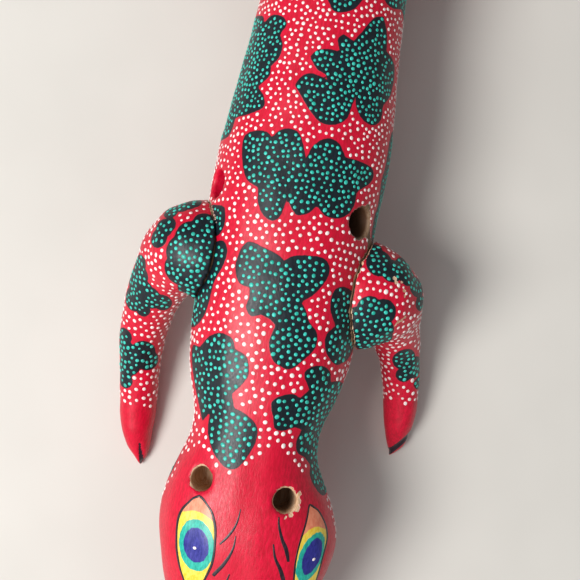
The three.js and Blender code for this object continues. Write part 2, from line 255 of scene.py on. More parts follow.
# ---- Dots: rows of (s, smallest spacing, radius); they grow towards the head --------------------
WHITE_DOTS = ((-60, 1.72, 0.48), (-25, 2.05, 0.56), (5, 2.2, 0.61), (50, 2.4, 0.65))
TEAL_DOTS = ((-60, 1.5, 0.5), (-25, 1.65, 0.53), (5, 1.82, 0.57), (50, 1.98, 0.64))
DOT_SPREAD = 0.128      # how much dots differ in size
DOT_RADIUS = 0.66       # a dot with this radius has the heights below
DOT_HEIGHT = 0.2
DOT_SIDES = 8
DOT_RINGS = ((1.0, -0.08), (0.93, 0.06), (0.6, 0.155))  # share of the radius, and height
DOTS_PER_PIECE = 4000
DOT_TRIES = 2.6         # points tried for each square millimetre

# ---- Eyes: rows of (b, left edge, right edge) about the pupil's (x, s), b towards the nose ------
# Pupil and ring are ellipses (a, b, half widths), tilted in degrees. The peach corner ends at a
# parabola (start, curve, middle). The glint is (a, b, radius).
EYES = {
    "right": {
        "centre": (-11.5, 83.0),
        "rows": (
            (-15.2, 0.9, 1.1), (-14.4, -0.9, 2.2), (-13.1, -2.3, 3.3), (-10.8, -4.4, 4.9),
            (-8, -5.7, 5.7), (-4.9, -6.3, 6.1), (-1.8, -6.5, 6), (1.8, -6.5, 5.7),
            (5.4, -6, 4.9), (8.5, -5.3, 3.6), (11, -4.5, 2.4), (14, -3.5, 0.8), (17.2, -1.9, -1.6),
        ),
        "tilt": 0.0,
        "pupil": (0.0, 0.0, 4.1, 5.6),
        "ring": (0.0, 0.0, 5.7, 8.3),
        "corner": (-10.7, 0.07, -1.0),
        "outline": 1.15,
        "glint": (-0.5, 0.95, 0.52),
    },
    "left": {
        "centre": (25.3, 81.0),
        "rows": (
            (-16.3, -1.1, -0.9), (-15.4, -1.4, 0.2), (-14, -1.6, 1.7), (-11, -2.3, 3.3),
            (-7.9, -3.3, 4.3), (-4.8, -4.3, 4.5), (-1.7, -5.1, 3.8), (1.2, -5.6, 3),
            (3.6, -5.8, 2.4), (6.7, -6, 1.6), (10, -5.9, 0.6), (14, -5.5, -0.9), (17.5, -4.5, -3.1),
            (19, -3.8, -3.6),
        ),
        "tilt": 20.0,
        "pupil": (-0.35, 0.0, 2.8, 5.95),
        "ring": (-0.75, 0.5, 3.9, 8.2),
        "corner": (-9.4, 0.14, 0.6),
        "outline": 0.85,
        "glint": (0.2, 0.85, 0.5),
    },
}
EYE_LIFT = 0.06         # the paint of an eye stands this proud
TUCKED = -0.05          # and the edge of a sheet of paint is sunk this far
# Painted creases on the face: points (x, s, width).
CREASES = (
    ((0.2, 68.5, 0.4), (-0.3, 73.5, 0.8), (-2, 77.5, 1.0), (-4.4, 80.9, 0.7)),
    ((0.2, 77, 0.4), (0, 81.5, 0.9), (-1.8, 86.5, 1.4), (-4.8, 91.5, 1.5)),
    ((0.4, 89.5, 0.5), (-0.4, 93, 1.0), (-2, 97, 1.2)),
    ((12.2, 69, 0.6), (12.8, 72, 0.9), (14.5, 76, 1.3), (16.3, 79, 1.6), (17.8, 83, 1.1)),
    ((12, 77.5, 0.6), (13.3, 81.8, 1.0), (15.5, 85.3, 1.5), (16.8, 88, 1.7), (18, 91, 1.3)),
)

# ---- Wear ---------------------------------------------------------------------------------------
# Chips: (x, s, radius, strength) on the surface below, where paint has come off.
CHIPS = (
    (35.0, -10.2, 0.7, 0.9), (35.8, -8.9, 0.6, 1.0), (37.6, -9.4, 0.5, 0.8), (36.8, -7.8, 0.4, 1.0),
    (38.9, -6.9, 0.6, 0.9), (39.4, -5.3, 0.5, 1.0), (38.8, 3.4, 0.6, 0.9), (39.9, 2.6, 0.6, 1.0),
    (40.8, 1.6, 0.5, 0.9), (38.0, 4.6, 0.4, 0.9),
    (17.4, 64.0, 1.0, 1.0), (17.2, 66.0, 1.1, 1.0), (15.8, 68.4, 0.8, 0.9), (17.5, 61.8, 0.7, 0.9),
    (14.2, 69.2, 0.5, 0.8),
)
# Paint worn off along the lip of the left wing socket and on to the seam: a path of (x, s).
WORN_LIP = ((22.6, -31), (23.3, -28.5), (23.7, -25.5), (24.4, -22.5), (25.4, -20.5), (25.8, -18.5))
WORN_LIP_WIDTH = 0.55
# Bare edges of each seam: (from s, to s, width, strength).
SEAM_WEAR = {
    "front_left": (-25, 19, 0.3, 0.9),
    "front_right": (-28, -17, 0.4, 0.62),
    "hind_left": (-205, -175, 0.4, 0.6),
    "hind_right": (-200, -178, 0.5, 0.6),
}

# ---- Colours as displayed, 0 to 255: pairs are the two tones that a paint's streaks run between --
RED = ((182, 0, 36), (220, 2, 54))
RED_FADED = (200, 1, 42)
DARK = ((4, 17, 25), (13, 31, 40))
WOOD = ((232, 198, 164), (184, 134, 92))
# painted shade: the colour that bare wood is darkened to, mostly inside the sockets
WOOD_SHADED = (74, 44, 22)
PRIMER = (238, 204, 192)
CUT = (38, 22, 34)
WHITE = ((236, 218, 214), (248, 236, 234), (255, 252, 250))  # the third streaks the dots
TEAL = ((20, 166, 148), (50, 204, 188), (120, 230, 216))
EYE_PEACH = ((226, 118, 86), (240, 150, 116))
EYE_YELLOW = ((236, 190, 40), (246, 222, 92))
EYE_TEAL = ((8, 150, 132), (40, 190, 170))
EYE_BLUE = ((20, 26, 116), (50, 50, 152))
LINE = ((26, 14, 24), (48, 32, 44))
PUTTY = ((34, 20, 12), (74, 48, 28))
STEEL = ((120, 120, 122), (160, 160, 160))
FLOOR = ((205, 202, 196), (212, 209, 203))

rng = np.random.default_rng(SEED)


# ---- Small mesh tools ---------------------------------------------------------------------------
def unit(v):
    v = np.asarray(v, float)
    return v / np.maximum(np.linalg.norm(v, axis=-1, keepdims=True), 1e-12)


def ease(values, low, high):
    """Smooth step from 0 at low to 1 at high."""
    t = np.clip((values - low) / (high - low), 0, 1)
    return t * t * (3 - 2 * t)


def fetched(items, field, width, kind=float):
    """One field of a mesh's items, a row for each."""
    values = np.empty(len(items) * width, kind)
    items.foreach_get(field, values)
    return values.reshape(-1, width)


def read(mesh):
    return fetched(mesh.vertices, "co", 3)


def write(mesh, points):
    mesh.vertices.foreach_set("co", np.ascontiguousarray(points, dtype=np.float32).ravel())
    mesh.update()


def normals_of(mesh):
    return fetched(mesh.vertex_normals, "vector", 3)


def triangles_of(mesh):
    mesh.calc_loop_triangles()
    return fetched(mesh.loop_triangles, "vertices", 3, int)


def ahead(points):
    """s of each point."""
    return SHOULDER_Y - points[:, 1]


def from_above(points):
    """(x, s) of each point."""
    return np.stack([points[:, 0], ahead(points)], axis=1)


def cad_mesh(node):
    """Corner points in millimetres and triangles of a CAD node."""
    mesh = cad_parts[node].data
    return read(mesh) / MM, triangles_of(mesh)


def joined(parts):
    """Several (points, triangles) as one."""
    points = []
    faces = []
    start = 0
    for p, f in parts:
        points.append(p)
        faces.append(f + start)
        start += len(p)
    return np.concatenate(points), np.concatenate(faces)


def linked(name, data):
    """A new object in the scene."""
    obj = bpy.data.objects.new(name, data)
    bpy.context.scene.collection.objects.link(obj)
    return obj


def remeshed(points, faces, voxel):
    """An even skin of quads round closed shapes, in millimetres."""
    mesh = bpy.data.meshes.new("raw")
    mesh.from_pydata(points.tolist(), [], faces.tolist())
    obj = linked("raw", mesh)
    mod = obj.modifiers.new("skin", "REMESH")
    mod.mode = "VOXEL"
    mod.voxel_size = voxel
    graph = bpy.context.evaluated_depsgraph_get()
    result = bpy.data.meshes.new_from_object(obj.evaluated_get(graph))
    bpy.data.objects.remove(obj)
    return result


def blurred(values, edges, weight, rounds):
    """Each round moves a value half way to its neighbours' mean, where weight is 1."""
    a, b = edges.T
    count = len(values)
    degree = np.bincount(a, minlength=count) + np.bincount(b, minlength=count)
    values = values.copy()
    for _ in range(rounds):
        for k in range(values.shape[1]):
            column = values[:, k]
            around = np.bincount(a, column[b], count) + np.bincount(b, column[a], count)
            values[:, k] = column + 0.5 * weight * (around / degree - column)
    return values


def evened(mesh, weight, rounds):
    """Smooths the cut faces away, and puts back most of what smoothing shrinks."""
    points = read(mesh)
    edges = fetched(mesh.edges, "vertices", 2, int)
    smooth = blurred(points, edges, weight, rounds)
    return smooth + blurred(points - smooth, edges, weight, rounds)


def tree_of(mesh):
    return BVHTree.FromPolygons(read(mesh).tolist(), triangles_of(mesh).tolist(), all_triangles=True)


def points_tree(points):
    tree = KDTree(len(points))
    for i, p in enumerate(points):
        tree.insert(p, i)
    tree.balance()
    return tree


def nearest(tree, points, reach):
    """Nearest point on a tree's surface and its distance, for each point within reach."""
    found = points.copy()
    distance = np.full(len(points), FAR)
    for i, p in enumerate(points):
        hit, _, _, d = tree.find_nearest(p, reach)
        if hit is not None:
            found[i] = hit
            distance[i] = d
    return found, distance


def drop(tree, x, y):
    """Where a plumb line from above meets a surface, and the surface's direction there."""
    hit, normal, _, _ = tree.ray_cast(Vector((x, y, 300)), Vector((0, 0, -1)))
    return (np.array(hit), np.array(normal)) if hit is not None else (None, None)


def piece(name, mesh, material, body):
    """Puts a mesh made in millimetres into the scene as a named piece on a body."""
    mesh.transform(((MM, 0, 0, 0), (0, MM, 0, 0), (0, 0, MM, 0), (0, 0, 0, 1)))
    mesh.name = name
    mesh.materials.clear()
    mesh.materials.append(material)
    mesh.shade_smooth()
    obj = linked(name, mesh)
    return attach(obj, body)


def attribute(mesh, name, values):
    layer = mesh.attributes.new(name, "FLOAT", "POINT")
    layer.data.foreach_set("value", np.ascontiguousarray(values, dtype=np.float32))


# ---- Carved skins -------------------------------------------------------------------------------
def in_bore(points, mouth, axis):
    """Height of each point above a socket's mouth, and the way to it straight out from the axis."""
    offset = points - np.array(mouth)
    height = offset @ axis
    return height, offset - height[:, None] * axis


def socket_distance(points):
    """Distance of each point from the nearest socket's bore wall, negative inside the bore."""
    best = np.full(len(points), FAR)
    for mouth, axis, radius in SOCKETS.values():
        height, out = in_bore(points, mouth, unit(axis))
        near = (height > -SOCKET_DEPTH) & (height < 8)
        gap = np.linalg.norm(out, axis=1) - radius
        best = np.where(near, np.minimum(best, gap), best)
    return best


def socket_inside(points, normals):
    """How surely each point is on a socket's wall or floor, and how deep it lies below the mouth."""
    inside = np.zeros(len(points))
    deep = np.zeros(len(points))
    for name, (mouth, axis, radius) in SOCKETS.items():
        height, out = in_bore(points, mouth, unit(axis))
        depth = -height
        across = np.linalg.norm(out, axis=1)
        facing = -(normals * unit(out)).sum(1)
        within = across < radius + SOCKET_MARGIN
        level = (depth > -6) & (depth < SOCKET_DEPTH)
        wall = ease(facing, 0.15, 0.55) * within
        wall = np.maximum(wall, ease(radius - across, 0.6, 1.0)) * level
        wall = wall * ease(depth, *BARE_BELOW[name])
        inside = np.maximum(inside, wall)
        deep = np.where(within & level, depth, deep)
    return inside, deep


def tool_marks(points, normals, weight):
    """Very shallow waves over a skin."""
    height = np.zeros(len(points))
    for _ in range(TOOL_WAVES):
        direction = unit(rng.normal(size=3) * (1, 0.45, 1))
        pitch = 2 * math.pi / rng.uniform(*TOOL_WAVE_LENGTH)
        height += np.sin(points @ direction * pitch + rng.uniform(0, 6))
    return points + normals * (height * TOOL_WAVE_HEIGHT * weight)[:, None]


def trunk_skin():
    """Head and trunk, evened out except round the sockets and the tail's seat."""
    mesh = remeshed(*cad_mesh("head_and_trunk"), TRUNK_VOXEL)
    points = read(mesh)
    socket = ease(socket_distance(points), 0.5, 4.5)
    rear = ease(-points[:, 1], -(PEG_END + 22), -(PEG_END + 8))
    weight = np.clip(socket * rear, 0.06, 1)
    write(mesh, evened(mesh, weight, TRUNK_ROUNDS))
    write(mesh, tool_marks(read(mesh), normals_of(mesh), weight))
    return mesh


def swollen(node):
    """A nail stopping, thickened about its own middle so that it fuses with the leg."""
    points, faces = cad_mesh(node)
    centre = points.mean(0)
    spread = points - centre
    long = np.linalg.svd(spread, full_matrices=False)[2][0]
    along = np.outer(spread @ long, long)
    return centre + along + (spread - along) * PLUG_SWELL, faces


def leg_skin(leg, trunk_tree):
    """One leg with its nail stoppings. Also returns how far off the trunk each point was."""
    parts = [cad_mesh(leg + "_leg")]
    parts += [swollen(f"{leg}_nail_plug_{i}") for i in (1, 2)]
    mesh = remeshed(*joined(parts), LIMB_VOXEL)
    points = read(mesh)
    _, distance = nearest(trunk_tree, points, SEAM_REACH)
    behind_tip = points[:, 1] - points[:, 1].min()
    weight = ease(distance, 1.6, 4.0) * ease(points[:, 2], 0.4, 2.5)
    weight = np.clip(weight * (0.12 + 0.88 * ease(behind_tip, 2, 10)), LEAST_EVENING, 1)
    points = evened(mesh, weight, LIMB_ROUNDS)
    write(mesh, points)
    points = tool_marks(points, normals_of(mesh), weight)
    return mesh, close_seam(mesh, points, leg, trunk_tree)


def close_seam(mesh, points, leg, trunk_tree):
    """Draws the rim of a leg's coped face towards the trunk, and returns each point's distance."""
    target, distance = nearest(trunk_tree, points, SEAM_REACH)
    outer = points_tree(points[distance > COPED])
    coped = distance < COPED
    rim = np.zeros(len(points))
    for i in np.flatnonzero(coped):
        rim[i] = outer.find(points[i])[2]
    opening = np.interp(ahead(points), *np.array(SEAM_OPENING[leg]).T)
    closing = np.maximum(SEAM_CAD_GAP - opening, 0)
    lip = np.where(coped, 1 - ease(rim, 1.5, 2.3), 1 - ease(distance, COPED, 5.5))
    pull = unit(target - points) * (closing * lip)[:, None]
    write(mesh, np.where(distance[:, None] < 6, points + pull, points))
    return distance


def tail_skin():
    """The tail, evened out behind its peg and shoulder."""
    mesh = remeshed(*cad_mesh("tail"), LIMB_VOXEL)
    weight = ease(read(mesh)[:, 1], PEG_END + TAIL_PEG + 1, PEG_END + TAIL_PEG + 6)
    write(mesh, evened(mesh, np.clip(weight, LEAST_EVENING, 1), LIMB_ROUNDS))
    return mesh


# ---- Carved and painted details -----------------------------------------------------------------
def dent(points, normals, centre, radius, depth):
    """Presses a round dent into the surface. Also returns how far down it each point is."""
    fall = np.exp(-((np.linalg.norm(points - centre, axis=1) / radius) ** 2))
    return points - normals * (fall * depth)[:, None], fall


def hoof_groove(points, normals, leg):
    """A V cut painted dark, back over the top: between the two toes, except on the left front hoof,
    where it runs along the outer front edge. Returns how dark each point is painted.
    """
    s = ahead(points)
    if leg in HOOF_DARK_GROOVES:
        start, end, thin, thick = HOOF_DARK_GROOVES[leg]
    else:
        end = points[s > s.max() - 2.5, 0].mean(), s.max()
        start = end[0] - 0.5, end[1] - SLIT_BACK
        thin = 0.3
        thick = 0.6
    start = np.array(start)
    run = np.array(end) - start
    p = from_above(points)
    t = (p - start) @ run / (run @ run)
    offset = np.linalg.norm(p - start - np.clip(t, 0, 1.3)[:, None] * run, axis=1)
    half = thin + (thick - thin) * np.clip(t, 0, 1)
    top = ease(normals[:, 2], -0.5, 0.1)
    fall = np.exp(-((offset / 0.6) ** 2)) * top
    painted = (1 - ease(offset, half * 0.8, half * 1.2)) * top
    return points - normals * (fall * 0.5)[:, None], painted


def pointed(points, leg):
    """Tapers a foreleg where it needs it, and draws the end of its hoof out to a point."""
    if leg not in HOOF_POINTS:
        return points
    x, s, length = HOOF_POINTS[leg]
    along = ahead(points)
    result = points.copy()
    if leg in SHANK_TAPER:
        start, end, side, taper = SHANK_TAPER[leg]
        result[:, 0] += (side - points[:, 0]) * taper * ease(along, start, end)
    reach = ease(along, s - length, s)
    result[:, 0] += (x - result[:, 0]) * 0.75 * reach ** 1.5
    result[:, 1] -= (s - along.max()) * reach ** 2
    return result


def face_cuts(mesh):
    """Nostrils, and the mouth as a groove round the muzzle. Returns how dark each point is painted."""
    points, normals = read(mesh), normals_of(mesh)
    s = ahead(points)
    stain = np.zeros(len(points))
    for x, nostril_s in NOSTRILS:
        centre, _ = drop(tree_of(mesh), x, SHOULDER_Y - nostril_s)
        points, fall = dent(points, normals, centre, 1.7, 1.5)
        stain = np.maximum(stain, ease(fall, 0.25, 0.45))
    level = MOUTH_HEIGHT + MOUTH_RISE * (s - MOUTH_START)
    groove = np.exp(-(((points[:, 2] - level) / 0.8) ** 2)) * ease(s, MOUTH_START, MOUTH_START + 6)
    points = points - normals * (groove * 0.9)[:, None]
    write(mesh, points)
    return np.maximum(stain, ease(groove, 0.2, 0.5))


# ---- Clouds of paint ----------------------------------------------------------------------------
def traced(outline):
    """Points of a closed outline, curved between its sharp points."""
    count = len(outline)
    sharp = [i for i, p in enumerate(outline) if len(p) > 2]
    start = sharp[0] if sharp else 0
    loop = [outline[(start + i) % count] for i in range(count + 1)]
    stretch = [loop[0][:2]]
    result = []
    for i, p in enumerate(loop[1:], 1):
        stretch.append(p[:2])
        if len(p) > 2 or i == count:
            result.append(spline(stretch, 5 * len(stretch))[:-1])
            stretch = [p[:2]]
    return np.concatenate(result)


def outline_depth(points, outline):
    """How far inside an outline each point is as seen from above, negative outside."""
    loop = traced(outline)
    p = from_above(points)
    near = np.flatnonzero(((p > loop.min(0) - 6) & (p < loop.max(0) + 6)).all(axis=1))
    p = p[near]
    best = np.full(len(p), 1e6)
    inside = np.zeros(len(p), bool)
    for a, b in zip(loop, np.roll(loop, -1, axis=0)):
        edge = b - a
        t = np.clip((p - a) @ edge / max(edge @ edge, 1e-9), 0, 1)
        best = np.minimum(best, ((p - a - t[:, None] * edge) ** 2).sum(1))
        crosses = (a[1] > p[:, 1]) != (b[1] > p[:, 1])
        if a[1] != b[1]:
            inside ^= crosses & (p[:, 0] < a[0] + (p[:, 1] - a[1]) * edge[0] / edge[1])
    depth = np.full(len(points), OUTSIDE)
    depth[near] = np.sqrt(best) * np.where(inside, 1, -1)
    return depth


def trunk_clouds(points, normals):
    """Depth inside the drawn clouds; down the sides their edges swing and end in scallops."""
    low = np.maximum(FLANK_TOP - points[:, 2], 0)
    swung = points + np.outer(2.4 * np.sin(low * 0.42) * ease(low, 0, 5), (0, 1, 0))
    depth = np.full(len(points), OUTSIDE)
    for outline in OUTLINES.values():
        np.maximum(depth, outline_depth(swung, outline), out=depth)
    edge = FLANK_EDGE - SCALLOP_DEPTH * np.abs(np.sin(points[:, 1] * math.pi / SCALLOP_WIDTH))
    depth = np.minimum(depth, (points[:, 2] - edge) * 0.8)
    return np.minimum(depth, (normals[:, 2] + UNDERSIDE) * 8)


def dropped_lobes(tree, lobes):
    """The drawn lobes, each dropped on to the surface below it."""
    result = []
    for x, s, radius in lobes:
        hit, _ = drop(tree, x, SHOULDER_Y - s)
        if hit is not None:
            result.append((*hit, radius, LOBE_DROOP))
    return result


def hidden_lobes(mesh, free, spacing):
    """Clouds of the same kind, spread over the part of a skin that free marks."""
    points, normals = read(mesh), normals_of(mesh)
    free = free.copy()
    lobes = []
    for i in rng.permutation(np.flatnonzero(free)):
        if not free[i]:
            continue
        p = points[i]
        n = normals[i]
        free &= np.linalg.norm(points - p, axis=1) > spacing
        side = unit(np.cross(n, rng.normal(size=3)))
        turn = np.cross(n, side)
        size = spacing / 24
        lobes.append((*p, 6.4 * size, 1.0))
        angle = rng.uniform(0, 6.28)
        for _ in range(rng.integers(5, 7)):
            angle += rng.uniform(0.85, 1.45)
            out = rng.uniform(4.8, 7.6) * size
            q = p + side * math.cos(angle) * out + turn * math.sin(angle) * out - n * out * 0.2
            lobes.append((*q, rng.uniform(3.8, 5.4) * size, 1.0))
    return lobes


def lobe_depth(points, lobes):
    """How far inside round lobes each point is, negative outside."""
    best = np.full(len(points), OUTSIDE)
    for x, y, z, radius, droop in lobes:
        offset = (points - (x, y, z)) * (1, 1, droop)
        np.maximum(best, radius - np.linalg.norm(offset, axis=1), out=best)
    return best


def painted_depth(name, mesh, off_trunk):
    """How far inside a cloud each point of a skin is: the drawn clouds, and free ones elsewhere."""
    points, normals = read(mesh), normals_of(mesh)
    s = ahead(points)
    undrawn = ~((s > DRAWN_FROM) & (normals[:, 2] > DRAWN_DOWN_TO))
    spacing = TRUNK_CLOUD_SPACING if name == "trunk" else LIMB_CLOUD_SPACING
    if name == "trunk":
        drawn = trunk_clouds(points, normals)
        clear = (socket_distance(points) > 3) & (points[:, 1] < TRUNK_CLOUDS_END)
        free = undrawn & (s < 58) & clear
    elif name == "tail":
        drawn = np.full(len(points), OUTSIDE)
        free = points[:, 1] > PEG_END + TAIL_PEG + 4
    else:
        drawn = lobe_depth(points, dropped_lobes(tree_of(mesh), LEG_LOBES.get(name, ())))
        free = undrawn & (s < HOOF_LINE[name] - 12) & (off_trunk > 1.6)
    more = hidden_lobes(mesh, free & (drawn < -CLOUD_GAP), spacing)
    depth = np.maximum(drawn, lobe_depth(points, more))
    if name in LEGS:
        depth = np.minimum(depth, HOOF_LINE[name] - 2 - s)
    return depth


# ---- Dots ---------------------------------------------------------------------------------------
def scattered(mesh, fields, usable, style):
    """Seeded points laid side by side over a skin. fields are values per corner."""
    points, normals = read(mesh), normals_of(mesh)
    faces = triangles_of(mesh)
    a, b, c = points[faces].transpose(1, 0, 2)
    area = np.linalg.norm(np.cross(b - a, c - a), axis=1) / 2
    count = int(area.sum() * DOT_TRIES)
    chosen = np.searchsorted(np.cumsum(area), rng.uniform(0, area.sum(), count))
    corners = faces[chosen.clip(max=len(faces) - 1)]
    share = rng.dirichlet((1, 1, 1), count)
    p = (points[corners] * share[:, :, None]).sum(1)
    n = unit((normals[corners] * share[:, :, None]).sum(1))
    keep = usable(p, {k: (v[corners] * share).sum(1) for k, v in fields.items()})
    kept = packed(p[keep], graded(style, p[keep], 1) * rng.uniform(0.88, 1.12, keep.sum()))
    return p[keep][kept], n[keep][kept]


def packed(p, gap):
    """Which points to keep so that each one's gap is clear, working from neighbour to neighbour."""
    tree = points_tree(p)
    alive = np.ones(len(p), bool)
    kept = []
    for start in range(len(p)):
        queue = deque([start])
        while queue:
            i = queue.popleft()
            if not alive[i]:
                continue
            kept.append(i)
            for _, j, distance in tree.find_range(p[i], gap[i] * 1.2):
                if distance < gap[i]:
                    alive[j] = False
                elif alive[j]:
                    queue.append(j)
    return kept


def dome_faces():
    """One dome's faces: walls between its rings, a cap round its top point, and its base."""
    around = [(i, (i + 1) % DOT_SIDES) for i in range(DOT_SIDES)]
    last = (len(DOT_RINGS) - 1) * DOT_SIDES
    faces = []
    for low in range(0, last, DOT_SIDES):
        high = low + DOT_SIDES
        faces += [(low + i, low + j, high + j, high + i) for i, j in around]
    faces += [(last + i, last + j, last + DOT_SIDES) for i, j in around]
    return faces + [tuple(range(DOT_SIDES - 1, -1, -1))]


def dot_mesh(p, n, radius, stretch):
    """Low closed domes, one for each point."""
    count = len(p)
    side = unit(np.cross(n, rng.normal(size=(count, 3))))
    turn = np.cross(n, side)
    angle = np.arange(DOT_SIDES) * (2 * math.pi / DOT_SIDES)
    flat = (
        side[:, None] * (np.cos(angle)[None, :, None] * (radius * stretch)[:, None, None])
        + turn[:, None] * (np.sin(angle)[None, :, None] * radius[:, None, None])
    )
    size = (radius / DOT_RADIUS)[:, None]
    layers = []
    for scale, height in DOT_RINGS:
        lift = n * height * (size if height > 0 else 1)
        layers.append(p[:, None] + flat * scale + lift[:, None])
    layers.append((p + n * DOT_HEIGHT * size)[:, None])
    points = np.concatenate(layers, axis=1)
    each = points.shape[1]
    dome = dome_faces()
    faces = [tuple(k + each * i for k in face) for i in range(count) for face in dome]
    mesh = bpy.data.meshes.new("dots")
    mesh.from_pydata(points.reshape(-1, 3).tolist(), [], faces)
    attribute(mesh, "tone", np.repeat(rng.uniform(0, 1, count), each))
    return mesh


def sound_paint(name, p, values):
    """Which points are on painted ground where dots go, clear of chips, cuts, seams and sockets."""
    s = ahead(p)
    keep = (values["bare"] < 0.3) & (values["stain"] < 0.2) & (values["seam"] > 1.15)
    keep &= p[:, 2] > 0.8
    if name == "trunk":
        line = np.interp(p[:, 0], *np.array(FACE_LINE).T)
        cheek = np.interp(s, *np.array(CHEEK_HEIGHT).T)
        keep &= s < np.where(p[:, 2] < cheek, FACE_LINE_LOW, line)
        keep &= s > SHOULDER_Y - (TRUNK_END - 1.2)
        return keep & (socket_distance(p) > 0.9)
    if name == "tail":
        return keep & (p[:, 1] > PEG_END + TAIL_PEG + 2)
    return keep & (s < HOOF_LINE[name] + 0.8 * np.sin(p[:, 0] * 0.9))


def add_dots(name, p, n, style, material, body):
    """Dots of a style at the points, in pieces of no more than DOTS_PER_PIECE."""
    radius = graded(style, p, 2) * np.clip(1 + rng.normal(0, DOT_SPREAD, len(p)), 0.7, 1.35)
    stretch = 1 + np.abs(rng.normal(0, 0.13, len(p)))
    order = np.argsort(p[:, 1])
    parts = max(1, math.ceil(len(p) / DOTS_PER_PIECE))
    for k, rows in enumerate(np.array_split(order, parts)):
        label = f"{name}_{k + 1}" if parts > 1 else name
        piece(label, dot_mesh(p[rows], n[rows], radius[rows], stretch[rows]), material, body)


def graded(style, p, column):
    """A dot measure at points, from the rows of its style."""
    rows = np.array(style)
    return np.interp(ahead(p), rows[:, 0], rows[:, column])


# ---- Paint laid on the face: eyes and creases ---------------------------------------------------
def along_image(centre, a, b):
    """From (a, b), a to the right and b down as the camera sees them, to (x, y)."""
    turn = math.radians(CAMERA_ROLL)
    x = centre[0] + a * math.cos(turn) + b * math.sin(turn)
    s = centre[1] - a * math.sin(turn) + b * math.cos(turn)
    return x, SHOULDER_Y - s


def laid_on(tree, grid_x, grid_y):
    """Surface points and directions below a grid of (x, y)."""
    points = np.zeros(grid_x.shape + (3,))
    normals = np.zeros_like(points)
    for index in np.ndindex(grid_x.shape):
        points[index], normals[index] = drop(tree, grid_x[index], grid_y[index])
    return points, normals


def sheet_of_paint(points, normals, lift, sink=0.25):
    """A thin closed layer over a grid of surface points, raised by lift and sunk below the surface."""
    rows, columns = lift.shape
    top = (points + normals * lift[..., None]).reshape(-1, 3)
    under = (points - normals * sink).reshape(-1, 3)
    half = rows * columns
    faces = []
    for i in range(rows - 1):
        for j in range(columns - 1):
            a, b = i * columns + j, i * columns + j + 1
            c, d = b + columns, a + columns
            faces.append((a, d, c, b))
            faces.append((a + half, b + half, c + half, d + half))
    border = list(range(columns))
    border += [i * columns + columns - 1 for i in range(1, rows)]
    border += [(rows - 1) * columns + j for j in range(columns - 2, -1, -1)]
    border += [i * columns for i in range(rows - 2, 0, -1)]
    for a, b in zip(border, border[1:] + border[:1]):
        faces.append((a, b, b + half, a + half))
    mesh = bpy.data.meshes.new("paint")
    mesh.from_pydata(np.concatenate([top, under]).tolist(), [], faces)
    return mesh


def spline(rows, count):
    """Catmull-Rom curve through rows of numbers."""
    rows = np.asarray(rows, float)
    padded = np.vstack([2 * rows[0] - rows[1], rows, 2 * rows[-1] - rows[-2]])
    result = []
    for t in np.linspace(0, len(rows) - 1 - 1e-9, count):
        i, u = int(t), t - int(t)
        p0, p1, p2, p3 = padded[i:i + 4]
        result.append(0.5 * (2 * p1 + (p2 - p0) * u + (2 * p0 - 5 * p1 + 4 * p2 - p3) * u ** 2
                             + (3 * p1 - p0 - 3 * p2 + p3) * u ** 3))
    return np.array(result)


def brush_line(name, tree, path, width, material, height=0.09):
    """A raised line of paint along a path of (x, y), with a width at each point."""
    step = np.gradient(path, axis=0)
    side = unit(np.stack([-step[:, 1], step[:, 0]], axis=1))
    across = np.linspace(-0.5, 0.5, 7)
    grid = path[:, None] + side[:, None] * (width[:, None] * across)[..., None]
    points, normals = laid_on(tree, grid[..., 0], grid[..., 1])
    lift = np.tile(height * (1 - (across * 2) ** 2) - 0.03, (len(path), 1))
    lift[[0, -1]] = TUCKED
    return piece(name, sheet_of_paint(points, normals, lift), material, "carving")


def ellipse_depth(a, b, shape):
    """Rough distance inside an ellipse, in millimetres."""
    ca, cb, ra, rb = shape
    q = np.hypot((a - ca) / ra, (b - cb) / rb)
    return (1 - q) * min(ra, rb)


def add_eye(side, eye, tree, paint, line, white):
    """One eye: a sheet of paint, the line round it and the glint in it."""
    rows = spline(eye["rows"], 90)
    across = np.linspace(0, 1, 33)
    b = np.repeat(rows[:, 0][:, None], len(across), axis=1)
    a = rows[:, 1][:, None] * (1 - across) + rows[:, 2][:, None] * across
    points, normals = laid_on(tree, *along_image(eye["centre"], a, b))
    lift = np.full(a.shape, EYE_LIFT)
    lift[[0, -1]] = TUCKED
    lift[:, [0, -1]] = TUCKED
    mesh = sheet_of_paint(points, normals, lift)
    turn = math.radians(eye["tilt"])
    along = -a * math.sin(turn) + b * math.cos(turn)
    sideways = a * math.cos(turn) + b * math.sin(turn)
    start, curve, middle = eye["corner"]
    fields = {
        "pupil": ellipse_depth(sideways, along, eye["pupil"]),
        "ring": ellipse_depth(sideways, along, eye["ring"]),
        "corner": start + curve * (a - middle) ** 2 - b,
    }
    for name, values in fields.items():
        attribute(mesh, name, np.tile(values.ravel(), 2))
    piece(f"eye_{side}", mesh, paint, "carving")
    loop = np.vstack([rows[:, [2, 0]], rows[::-1][:, [1, 0]]])
    loop = np.vstack([loop, loop[:2]])
    path = np.stack(along_image(eye["centre"], loop[:, 0], loop[:, 1]), axis=1)
    wobble = 1 + 0.12 * np.sin(np.arange(len(path)) * 0.21 + 1)
    brush_line(f"eye_outline_{side}", tree, path, eye["outline"] * wobble, line, 0.12)
    glint_a, glint_b, size = eye["glint"]
    p, n = drop(tree, *along_image(eye["centre"], glint_a, glint_b))
    mesh = dot_mesh(p[None] + n[None] * EYE_LIFT, n[None], np.array([size]), np.array([1.35]))
    piece(f"eye_glint_{side}", mesh, white, "carving")


# ---- Materials ----------------------------------------------------------------------------------
def rgb(colour):
    """A displayed colour as the linear one that a shader takes. A socket stays as it is."""
    if isinstance(colour, bpy.types.NodeSocket):
        return colour
    share = np.array(colour) / 255
    linear = np.where(share <= 0.04045, share / 12.92, ((share + 0.055) / 1.055) ** 2.4)
    return (*linear.tolist(), 1.0)


